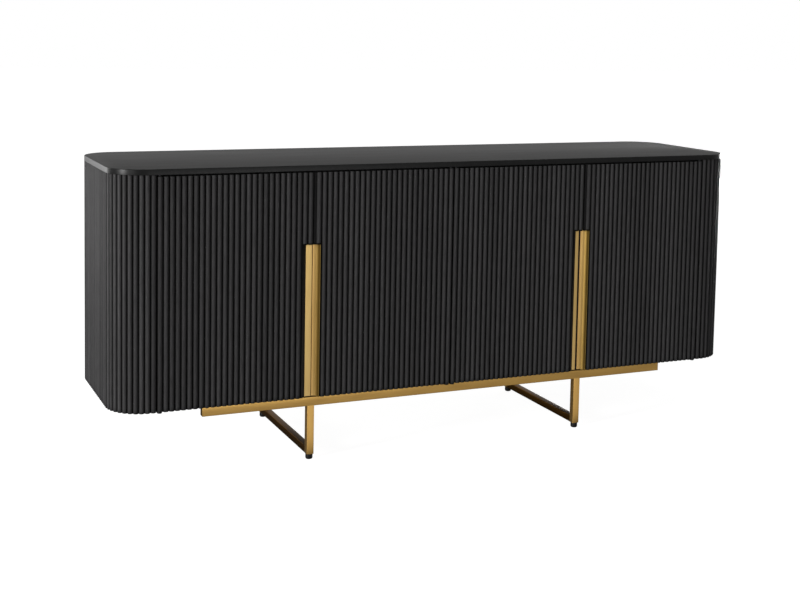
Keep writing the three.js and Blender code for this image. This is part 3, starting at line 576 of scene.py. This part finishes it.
# ---- Finger pulls ----
# Two strips of brass line each pair's hollow: a folded flat one, 1.5 mm thick, on the left door, and an
# extruded one on the right, coved on its face. They are brushed along their length, lacquered and glued to
# the doors. Their hidden returns and the outer lip of the cove are darkened to a dark brown, a painted shade.
def brass(name, grain, pale, deep, roughness, metallic):
    """Brushed and lacquered brass: a soft gold with fine lines along one axis that spread the light across.

    Towards the outer edge of a cove a painted shade turns it an olive brown.
    Real brush lines are 0.1 mm wide; they are drawn 0.7 mm wide so that they show.
    """
    metal = bpy.data.materials.new(name)
    metal.use_nodes = True
    tree = metal.node_tree
    shader = tree.nodes["Principled BSDF"]
    place = add(tree, "TexCoord").outputs["Object"]
    fine, slow = [1 / 0.0007] * 3, [1 / 0.02] * 3
    fine[grain], slow[grain] = 1 / 0.06, 1 / 0.12
    across = add(tree, "Mapping", [(place, "Vector")], Scale=fine)
    drift = add(tree, "Mapping", [(place, "Vector")], Scale=slow)
    lines = add(tree, "TexNoise", [(across.outputs[0], "Vector")], Scale=1.0, Detail=3.0, Roughness=0.65)
    cloud = add(tree, "TexNoise", [(drift.outputs[0], "Vector")], Scale=1.0, Detail=2.0)
    mixed = add(tree, "Math", [(lines.outputs[0], 0), (cloud.outputs[0], 1)], operation="ADD")
    spread = add(tree, "MapRange", [(mixed.outputs[0], "Value")], From_Min=0.7, From_Max=1.3)
    tone = add(tree, "MixRGB", [(spread.outputs[0], "Fac")], Color1=linear(deep), Color2=linear(pale))
    # A painted shade turns the cove olive brown towards its outer edge.
    cove_shade = add(tree, "Attribute", attribute_name="painted_shade").outputs["Fac"]
    shaded_tone = add(tree, "MixRGB", [(cove_shade, "Fac"), (tone.outputs[0], "Color1")], Color2=linear("#6a5626"))
    tree.links.new(shaded_tone.outputs[0], shader.inputs["Base Color"])
    satin = add(tree, "MapRange", [(lines.outputs[0], "Value")],
                To_Min=roughness - 0.05, To_Max=roughness + 0.05)
    tree.links.new(satin.outputs[0], shader.inputs["Roughness"])
    relief = add(tree, "Bump", [(lines.outputs[0], "Height")], Strength=0.1, Distance=0.0001)
    tree.links.new(relief.outputs[0], shader.inputs["Normal"])
    shader.inputs["Metallic"].default_value = metallic
    return metal


STRIP_BEND = 0.0017
COVE_FLOOR = 0.0195
COVE_STEPS = 24
LINER_RETURN = 0.028
STRIP_EASE = 0.0002
tip_reach = LINER_EDGE + HOLLOW_FLOOR + HOLLOW_RISE
# The flat strip is a pale gold. The cove is a little browner, a painted shade, and the returns are dark with
# a painted shade and hardly shine.
strip_brass = brass("brushed_brass_strip", 2, "#bda065", "#af9159", 0.42, 0.85)
cove_brass = brass("brushed_brass_cove", 2, "#b8955c", "#a7864f", 0.44, 0.95)
return_brass = brass("shaded_brass_return", 2, "#2e1d0d", "#221508", 0.55, 0.85)
# Edges of the flat and of the coved strip, from the middle of the pair's seam.
strip_edges = {"left": (-0.0005, 0.0003), "right": (-0.0075, -0.0019)}
for name, hinge in door_names.items():
    side = name.split("_")[0]
    flat_edge, coved_edge = strip_edges[side]
    low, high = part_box(f"pull_liner_{name}")
    if hinge < 0:
        deep = FLAT_DEPTH + LINER_THICK
        outline = [(-LINER_EDGE - FLAT_WIDTH, FLAT_DEPTH)]
        outline += arc(flat_edge - STRIP_BEND, FLAT_DEPTH + STRIP_BEND, STRIP_BEND, -90, 0, 6)
        outline += [(flat_edge, LINER_RETURN), (flat_edge - LINER_THICK, LINER_RETURN)]
        outline += arc(flat_edge - STRIP_BEND, FLAT_DEPTH + STRIP_BEND, STRIP_BEND - LINER_THICK, 0, -90, 4)
        outline += [(-LINER_EDGE - FLAT_WIDTH, deep)]
    else:
        cove_start = coved_edge + STRIP_BEND
        turns = [math.pi / 2 * i / COVE_STEPS for i in range(COVE_STEPS + 1)]
        cove = [(cove_start + (tip_reach - cove_start) * math.sin(t),
                 HOLLOW_LIP + (COVE_FLOOR - HOLLOW_LIP) * math.cos(t)) for t in turns]
        back = pull_hollow(LINER_THICK, COVE_STEPS)[::-1]
        tip = (cove[-1][0] + back[0][0]) / 2
        outline = [(coved_edge, LINER_RETURN)]
        outline += arc(coved_edge + STRIP_BEND, COVE_FLOOR + STRIP_BEND, STRIP_BEND, 180, 270, 6)
        outline += cove
        outline += arc(tip, HOLLOW_LIP, LINER_THICK / 2, 180, 360, 6)[1:-1]
        outline += back
        outline += arc(coved_edge + STRIP_BEND, HOLLOW_DEPTH + STRIP_BEND,
                       STRIP_BEND - LINER_THICK, 270, 180, 4)
        outline += [(coved_edge + LINER_THICK, LINER_RETURN)]
    plan = [(seams[side] + x, front_y + d) for x, d in outline]
    verts, faces = prism(plan, eased(low.z, high.z, STRIP_EASE, 1))
    if hinge > 0:
        cove_shades = [min(max((x - cove_start) / (tip_reach - cove_start), 0), 1) for x, _ in outline]
    else:
        cove_shades = [0.0] * len(outline)
    strip = lay(verts, faces, f"pull_strip_{name}", strip_brass if hinge < 0 else cove_brass, 40,
                painted_shades=cove_shades * (len(verts) // len(outline)))
    strip.data.materials.append(return_brass)
    # Side faces behind the front of a strip, and those at the outside of a cove's lip, take the dark brown of
    # a painted shade.
    behind = front_y + (FLAT_DEPTH if hinge < 0 else COVE_FLOOR) + 0.001
    tip_x = seams[side] + tip_reach + 0.0001
    for face in strip.data.polygons:
        returned = face.center.y > behind and abs(face.normal.x) > 0.4
        lipped = hinge > 0 and face.center.x > tip_x and face.normal.y < 0.5
        face.material_index = int(returned or lipped)
    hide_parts(f"pull_liner_{name}")
    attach(strip, f"{name}_door")

# ---- Carcass boards ----
# Top, bottom, sides, partition and back are 8 to 18 mm boards faced with dark laminate that has the grain of
# stained ash printed on it, dowelled and glued together. Their front edges are banded in plain black, so that
# the seams between the doors stay dark.
# A printed grey-brown grain, more even and a little shinier than real wood. The edge band is a plain black.
laminate_along = ash("ash_print_laminate_along", 0, "#2b2826", "#393532", 0.50, 0.3)
laminate_upright = ash("ash_print_laminate_upright", 2, "#2b2826", "#393532", 0.50, 0.3)
EDGE_BAND = 0.0004
carcass_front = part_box("centre_partition")[0].y
for laminate in (laminate_along, laminate_upright):
    tree = laminate.node_tree
    shader = tree.nodes["Principled BSDF"]
    printed = shader.inputs["Base Color"].links[0].from_socket
    place = add(tree, "TexCoord").outputs["Object"]
    depth = add(tree, "SeparateXYZ", [(place, 0)]).outputs["Y"]
    banded = add(tree, "Math", [(depth, 0)], operation="LESS_THAN")
    banded.inputs[1].default_value = carcass_front + EDGE_BAND
    tone = add(tree, "MixRGB", [(banded.outputs[0], "Fac"), (printed, "Color1")], Color2=linear("#0b0b0b"))
    tree.links.new(tone.outputs[0], shader.inputs["Base Color"])


def dress(nodes, material):
    """Gives CAD nodes that stay in view their finish."""
    for node in nodes:
        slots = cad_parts[node].data.materials
        slots.clear()
        slots.append(material)


dress(["bottom_panel", "carcass_top"], laminate_along)
dress(["side_panel_left", "side_panel_right", "centre_partition"], laminate_upright)


def board(name, node, radius, material):
    """A rectangular board in a CAD node's place, with its edges rounded. It rides the cabinet at first."""
    low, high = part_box(node)
    shape = bmesh.new()
    bmesh.ops.create_cube(shape, size=1)
    middle, size = (low + high) / 2, high - low
    for vert in shape.verts:
        vert.co = middle + Vector(a * b for a, b in zip(vert.co, size))
    bmesh.ops.bevel(shape, geom=shape.edges, offset=radius, segments=3, profile=0.5, affect="EDGES")
    mesh = bpy.data.meshes.new(name)
    shape.to_mesh(mesh)
    shape.free()
    mesh.shade_smooth()
    mesh.set_sharp_from_angle(angle=math.radians(50))
    mesh.materials.append(material)
    piece = bpy.data.objects.new(name, mesh)
    scene.collection.objects.link(piece)
    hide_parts(node)
    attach(piece, "cabinet")
    return piece


board("back_board", "back_panel", 0.0006, laminate_along)

# ---- Shelves and their pins ----
# One loose shelf in each bay, its front edge banded and rounded, on four steel pins pushed into the boards.
# Each pin has a collar that bears on the board.
for side in ("left", "right"):
    board(f"shelf_board_{side}", f"shelf_{side}", 0.0012, laminate_along)


def plated_steel(name, dark, bright, roughness):
    """Plated steel: one even tone, with a faint spangle that breaks up its shine.

    Real crystals are well under 1 mm wide; they are drawn 2 mm wide so that they show.
    """
    metal = bpy.data.materials.new(name)
    metal.use_nodes = True
    tree = metal.node_tree
    shader = tree.nodes["Principled BSDF"]
    place = add(tree, "TexCoord").outputs["Object"]
    spangle = add(tree, "TexVoronoi", [(place, "Vector")], Scale=1 / 0.002)
    haze = add(tree, "TexNoise", [(place, "Vector")], Scale=1 / 0.006, Detail=3.0)
    both = add(tree, "MixRGB", [(spangle.outputs["Color"], "Color1"), (haze.outputs[0], "Color2")], Fac=0.6)
    tone = add(tree, "MixRGB", [(both.outputs[0], "Fac")], Color1=linear(dark), Color2=linear(bright))
    tree.links.new(tone.outputs[0], shader.inputs["Base Color"])
    dull = add(tree, "MapRange", [(haze.outputs[0], "Value")],
               To_Min=roughness - 0.08, To_Max=roughness + 0.10)
    tree.links.new(dull.outputs[0], shader.inputs["Roughness"])
    shader.inputs["Metallic"].default_value = 1.0
    return metal


# A cool pale grey with a soft shine.
zinc = plated_steel("zinc_plated_steel", "#96979a", "#b9babd", 0.38)


def turned(profile, foot, axis, segments, name, material, body, slot, *nodes):
    """A lathed piece from a foot point along a unit axis, its profile as (distance along it, radius)."""
    side_a = axis.orthogonal().normalized()
    side_b = axis.cross(side_a)
    verts, faces = [], []
    for along, radius in profile:
        for k in range(segments):
            turn = 2 * math.pi * k / segments
            verts.append(foot + axis * along + (side_a * math.cos(turn) + side_b * math.sin(turn)) * radius)
    for row in range(len(profile) - 1):
        for k in range(segments):
            m = (k + 1) % segments
            a, b = row * segments, (row + 1) * segments
            faces.append((a + k, a + m, b + m, b + k))
    faces.append(tuple(reversed(range(segments))))
    faces.append(tuple(range(len(verts) - segments, len(verts))))
    piece = lay(verts, faces, name, material, 35)
    if nodes:
        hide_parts(*nodes)
    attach(piece, body)


COLLAR = 0.0011
SHELF_PIN_SIDES = 24
for side in ("left", "right"):
    for end in ("inner", "outer"):
        for row in ("front", "rear"):
            node = f"shelf_pin_{side}_{end}_{row}"
            low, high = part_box(node)
            outward = 1 if (side == "right") == (end == "outer") else -1
            reach = (high.x - low.x) / 2
            foot = Vector(((low.x + high.x) / 2 + outward * reach, (low.y + high.y) / 2,
                           (low.z + high.z) / 2))
            radius = (high.z - low.z) / 2
            profile = [(0, radius * 0.7), (0.0008, radius), (reach, radius), (reach, radius * 1.5),
                       (reach + COLLAR, radius * 1.5), (reach + COLLAR, radius), (2 * reach - 0.0008, radius),
                       (2 * reach - 0.0002, radius * 0.85), (2 * reach, radius * 0.6)]
            turned(profile, foot, Vector((-outward, 0, 0)), SHELF_PIN_SIDES,
                   f"shelf_pin_turned_{side}_{end}_{row}", zinc, "cabinet", "zinc_steel", node)

# ---- Back panel screws ----
# Black pan-head wood screws with a cross recess hold the back board to the boards round it and to the
# partition.
HEAD_RADIUS = 0.0034
HEAD_HEIGHT = 0.0022
HEAD_SIDES = 16
EDGE_INSET = 0.012


def screws(name, places, axis, scale, material, body):
    """Pan-head screws at places, their heads up along a unit axis: a dome with a four-armed recess."""
    radius, height = HEAD_RADIUS * scale, HEAD_HEIGHT * scale
    side_a = axis.orthogonal().normalized()
    side_b = axis.cross(side_a)
    arms = [0.52, 0.20, 0.17, 0.20]
    # Rings from the rim over the dome and down into the recess: share of the height, shares of the radius.
    rows = [(0, [1.0] * 4), (0.45, [1.0] * 4), (0.80, [0.84] * 4), (1.0, [0.60] * 4), (1.0, arms),
            (0.45, [a * 0.7 for a in arms])]
    verts, faces = [], []
    for place in places:
        first = len(verts)
        for level, reach in rows:
            for k in range(HEAD_SIDES):
                turn = 2 * math.pi * k / HEAD_SIDES
                ring = side_a * math.cos(turn) + side_b * math.sin(turn)
                verts.append(Vector(place) + axis * level * height + ring * reach[k % 4] * radius)
        for row in range(len(rows) - 1):
            for k in range(HEAD_SIDES):
                m = (k + 1) % HEAD_SIDES
                a, b = first + row * HEAD_SIDES, first + (row + 1) * HEAD_SIDES
                faces.append((a + k, a + m, b + m, b + k))
        faces.append(tuple(reversed(range(first, first + HEAD_SIDES))))
        faces.append(tuple(range(len(verts) - HEAD_SIDES, len(verts))))
    piece = lay(verts, faces, name, material, 35)
    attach(piece, body)


# Black oxide on steel: nearly as dark as the shadows round it, with a faint cold shine.
blackened = plated_steel("blackened_steel", "#111112", "#1b1b1c", 0.45)
low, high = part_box("back_panel")
edge_x = high.x - EDGE_INSET
heads = [(edge_x * share, high.y, z) for z in (low.z + EDGE_INSET, high.z - EDGE_INSET)
         for share in (-1, -0.68, -0.35, 0, 0.35, 0.68, 1)]
heads += [(x, high.y, (low.z + high.z) / 2 + dz) for x in (-edge_x, 0.0, edge_x) for dz in (-0.1, 0.1)]
screws("back_panel_screws", heads, Vector((0, 1, 0)), 1.1, blackened, "cabinet")

# ---- Pivot hinges ----
# A 2.5 mm steel leaf is let into the carcass panel below and above each door, and a 6 mm pin riveted in its
# round nose goes up or down into the door. Leaf and pin are coated black, and two plated screws hold them.
LEAF_THICK = 0.0025
LEAF_CORNER = 0.001
LEAF_STEPS = 12
PIN_STEM = 0.003
PIN_RIVET = 0.004
for name in door_names:
    for end, up in (("lower", 1), ("upper", -1)):
        node = f"hinge_{end}_{name}"
        low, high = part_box(node)
        x, y = pivots[name]
        face = low.z if up > 0 else high.z
        outline = arc(x, y, (high.x - low.x) / 2, 180, 360, LEAF_STEPS)
        outline += [(high.x, high.y - LEAF_CORNER), (high.x - LEAF_CORNER, high.y),
                    (low.x + LEAF_CORNER, high.y), (low.x, high.y - LEAF_CORNER)]
        leaf_low, leaf_high = (face, face + LEAF_THICK) if up > 0 else (face - LEAF_THICK, face)
        verts, faces = prism(outline, eased(leaf_low, leaf_high, 0.0003, 1))
        leaf = lay(verts, faces, f"hinge_leaf_{end}_{name}", blackened, 35)
        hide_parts(node)
        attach(leaf, "cabinet")
        reach = high.z - low.z
        profile = [(0.0002, PIN_RIVET), (0.0010, PIN_RIVET), (0.0012, PIN_STEM), (reach - 0.0008, PIN_STEM),
                   (reach, 0.0022)]
        turned(profile, Vector((x, y, face)), Vector((0, 0, up)), 20, f"hinge_pin_{end}_{name}", blackened,
               "cabinet", "hinge_leaf")
        # The slab covers the screws of the upper leaves.
        if up > 0:
            holes = [(x, high.y - d, face + 0.0002) for d in (0.010, 0.030)]
            screws(f"hinge_screws_{end}_{name}", holes, Vector((0, 0, -1)), 0.8, zinc,
                   "cabinet")

# ---- Magnetic catches and strikes ----
# A moulded nylon case with two magnets stands under the carcass top at each seam. A steel strike is screwed
# to the back of each door, and stops 0.3 mm short of it.
def moulded(name, dark, pale, roughness, texture):
    """Moulded nylon: an even near-black with the fine spark texture of its tool, and a soft wide shine.

    Real spark texture is about 0.1 mm wide; it is drawn coarser, so that it shows.
    """
    plastic = bpy.data.materials.new(name)
    plastic.use_nodes = True
    tree = plastic.node_tree
    shader = tree.nodes["Principled BSDF"]
    place = add(tree, "TexCoord").outputs["Object"]
    spark = add(tree, "TexNoise", [(place, "Vector")], Scale=1 / texture, Detail=4.0)
    cloud = add(tree, "TexNoise", [(place, "Vector")], Scale=1 / 0.015)
    tone = add(tree, "MixRGB", [(cloud.outputs[0], "Fac")], Color1=linear(dark), Color2=linear(pale))
    tree.links.new(tone.outputs[0], shader.inputs["Base Color"])
    dull = add(tree, "MapRange", [(spark.outputs[0], "Value")],
               To_Min=roughness - 0.07, To_Max=roughness + 0.09)
    tree.links.new(dull.outputs[0], shader.inputs["Roughness"])
    relief = add(tree, "Bump", [(spark.outputs[0], "Height")], Strength=0.3, Distance=0.00008)
    tree.links.new(relief.outputs[0], shader.inputs["Normal"])
    shader.inputs["IOR"].default_value = 1.53
    shader.inputs["Specular IOR Level"].default_value = 0.2
    return plastic


MAGNET_SHIFT = 0.017
MAGNET_RADIUS = 0.0045
# An even black with a low shine, like the gaps round it.
nylon = moulded("moulded_black_nylon", "#0a0a0a", "#101010", 0.40, 0.0008)
for side in ("left", "right"):
    board(f"catch_case_{side}", f"magnetic_catch_{side}", 0.0012, nylon)
    low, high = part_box(f"magnetic_catch_{side}")
    for number, shift in enumerate((-MAGNET_SHIFT, MAGNET_SHIFT)):
        centre = Vector(((low.x + high.x) / 2 + shift, low.y + 0.0006, (low.z + high.z) / 2))
        profile = [(0, MAGNET_RADIUS), (0.0006, MAGNET_RADIUS), (0.0008, MAGNET_RADIUS - 0.0003)]
        turned(profile, centre, Vector((0, -1, 0)), 28, f"catch_magnet_{side}_{number + 1}", zinc,
               "cabinet", "zinc_steel")
for name in door_names:
    strike = board(f"strike_plate_{name}", f"strike_{name}", 0.0004, zinc)
    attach(strike, f"{name}_door")

# ---- Base frame ----
# Two rectangular bars under the carcass carry square-tube legs in line with the pulls. Rails on the floor and
# cross members under the carcass join front and rear. All of it is 2 mm steel tube, welded, ground flush and
# brass-plated.
TUBE_ROUND = 0.0012
TUBE_WALL = 0.002
TUBE_INNER_ROUND = 0.0004
TUBE_BEVEL = 0.0004
# Tube ends reach this far into their neighbours, as a ground weld does.
FUSE = 0.0018
# Thin brass plating, brushed along each tube. Its tone by the way the tube runs is painted light and shade:
# upright ones are the palest, and those from front to rear much the darkest.
tube_gold = {"x": brass("brushed_brass_plate_along", 0, "#a28147", "#91713d", 0.33, 1.0),
             "y": brass("brushed_brass_plate_across", 1, "#694a1f", "#5a3d17", 0.33, 1.0),
             "z": brass("brushed_brass_plate_upright", 2, "#c59d59", "#b48d4f", 0.33, 1.0)}
# The tint holds down the shine of these at low angles, where their tops would go white.
for axis in ("x", "y"):
    shader = tube_gold[axis].node_tree.nodes["Principled BSDF"]
    shader.inputs["Specular Tint"].default_value = linear("#bcc1c5")


def tube(name, low, high, axis, closed, *nodes):
    """A rectangular tube with rounded corners between two corners of its box, open at its ends or capped."""
    u, v, w = {"x": (1, 2, 0), "y": (2, 0, 1), "z": (0, 1, 2)}[axis]

    def ring(inset, radius, place):
        corners = [(high[u], low[v], -90), (high[u], high[v], 0),
                   (low[u], high[v], 90), (low[u], low[v], 180)]
        points = []
        for cu, cv, turn in corners:
            mid_u = cu + (inset + radius) * (1 if cu == low[u] else -1)
            mid_v = cv + (inset + radius) * (1 if cv == low[v] else -1)
            for pu, pv in arc(mid_u, mid_v, radius, turn, turn + 90, 4):
                point = [0.0, 0.0, 0.0]
                point[u], point[v], point[w] = pu, pv, place
                points.append(Vector(point))
        return points

    rings = [ring(TUBE_BEVEL, TUBE_ROUND - TUBE_BEVEL, low[w]), ring(0, TUBE_ROUND, low[w] + TUBE_BEVEL),
             ring(0, TUBE_ROUND, high[w] - TUBE_BEVEL), ring(TUBE_BEVEL, TUBE_ROUND - TUBE_BEVEL, high[w])]
    if not closed:
        rings += [ring(TUBE_WALL, TUBE_INNER_ROUND, high[w]), ring(TUBE_WALL, TUBE_INNER_ROUND, low[w])]
    count = len(rings[0])
    verts = [point for points in rings for point in points]
    faces = []
    for row in range(len(rings) - (1 if closed else 0)):
        after = (row + 1) % len(rings)
        for k in range(count):
            m = (k + 1) % count
            faces.append((row * count + k, row * count + m, after * count + m, after * count + k))
    if closed:
        faces.append(tuple(reversed(range(count))))
        faces.append(tuple(range(len(verts) - count, len(verts))))
    piece = lay(verts, faces, name, tube_gold[axis], 35)
    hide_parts(*nodes)
    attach(piece, "cabinet")


bar_box = {row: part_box(f"{row}_bar") for row in ("front", "rear")}
for row, (low, high) in bar_box.items():
    tube(f"{row}_bar_tube", low, high, "x", True, f"{row}_bar")
for side in ("left", "right"):
    for row in bar_box:
        node = f"{row}_leg_{side}"
        low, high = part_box(node)
        high.z = bar_box[row][0].z + FUSE
        tube(f"{node}_tube", low, high, "z", False, node)
    for node in (f"floor_rail_{side}", f"cross_member_{side}"):
        low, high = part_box(node)
        low.y = bar_box["front"][1].y - FUSE
        high.y = bar_box["rear"][0].y + FUSE
        tube(f"{node}_tube", low, high, "y", False, node)
    # Two bolts go up through each cross member into the carcass bottom.
    low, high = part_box(f"cross_member_{side}")
    bolts = [((low.x + high.x) / 2, y, low.z) for y in (low.y + 0.06, high.y - 0.06)]
    screws(f"base_bolts_{side}", bolts, Vector((0, 0, -1)), 1.7, zinc, "cabinet")

# ---- Glides ----
# A black nylon foot is pressed into the lower end of each leg. It is turned, with a domed edge round a flat
# sole and a stem that grips inside the tube.
SOLE_RADIUS = 0.0068
FOOT_RADIUS = 0.0100
FOOT_HEIGHT = 0.0142
DOME_HEIGHT = 0.0055
STEM_RADIUS = 0.0074
for side in ("left", "right"):
    for row in ("front", "rear"):
        node = f"glide_{row}_{side}"
        low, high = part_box(node)
        turns = [math.pi / 2 * i / 8 for i in range(9)]
        dome = [(DOME_HEIGHT * (1 - math.cos(t)), SOLE_RADIUS + (FOOT_RADIUS - SOLE_RADIUS) * math.sin(t))
                for t in turns]
        profile = [(0.0, 0.004)] + dome
        profile += [(FOOT_HEIGHT - 0.0006, FOOT_RADIUS), (FOOT_HEIGHT, FOOT_RADIUS - 0.0006),
                    (FOOT_HEIGHT, STEM_RADIUS), (high.z - 0.001, STEM_RADIUS), (high.z, STEM_RADIUS - 0.0008)]
        foot = Vector(((low.x + high.x) / 2, (low.y + high.y) / 2, low.z))
        turned(profile, foot, Vector((0, 0, 1)), 40, f"glide_foot_{row}_{side}", nylon,
               "cabinet", "black_plastic", node)
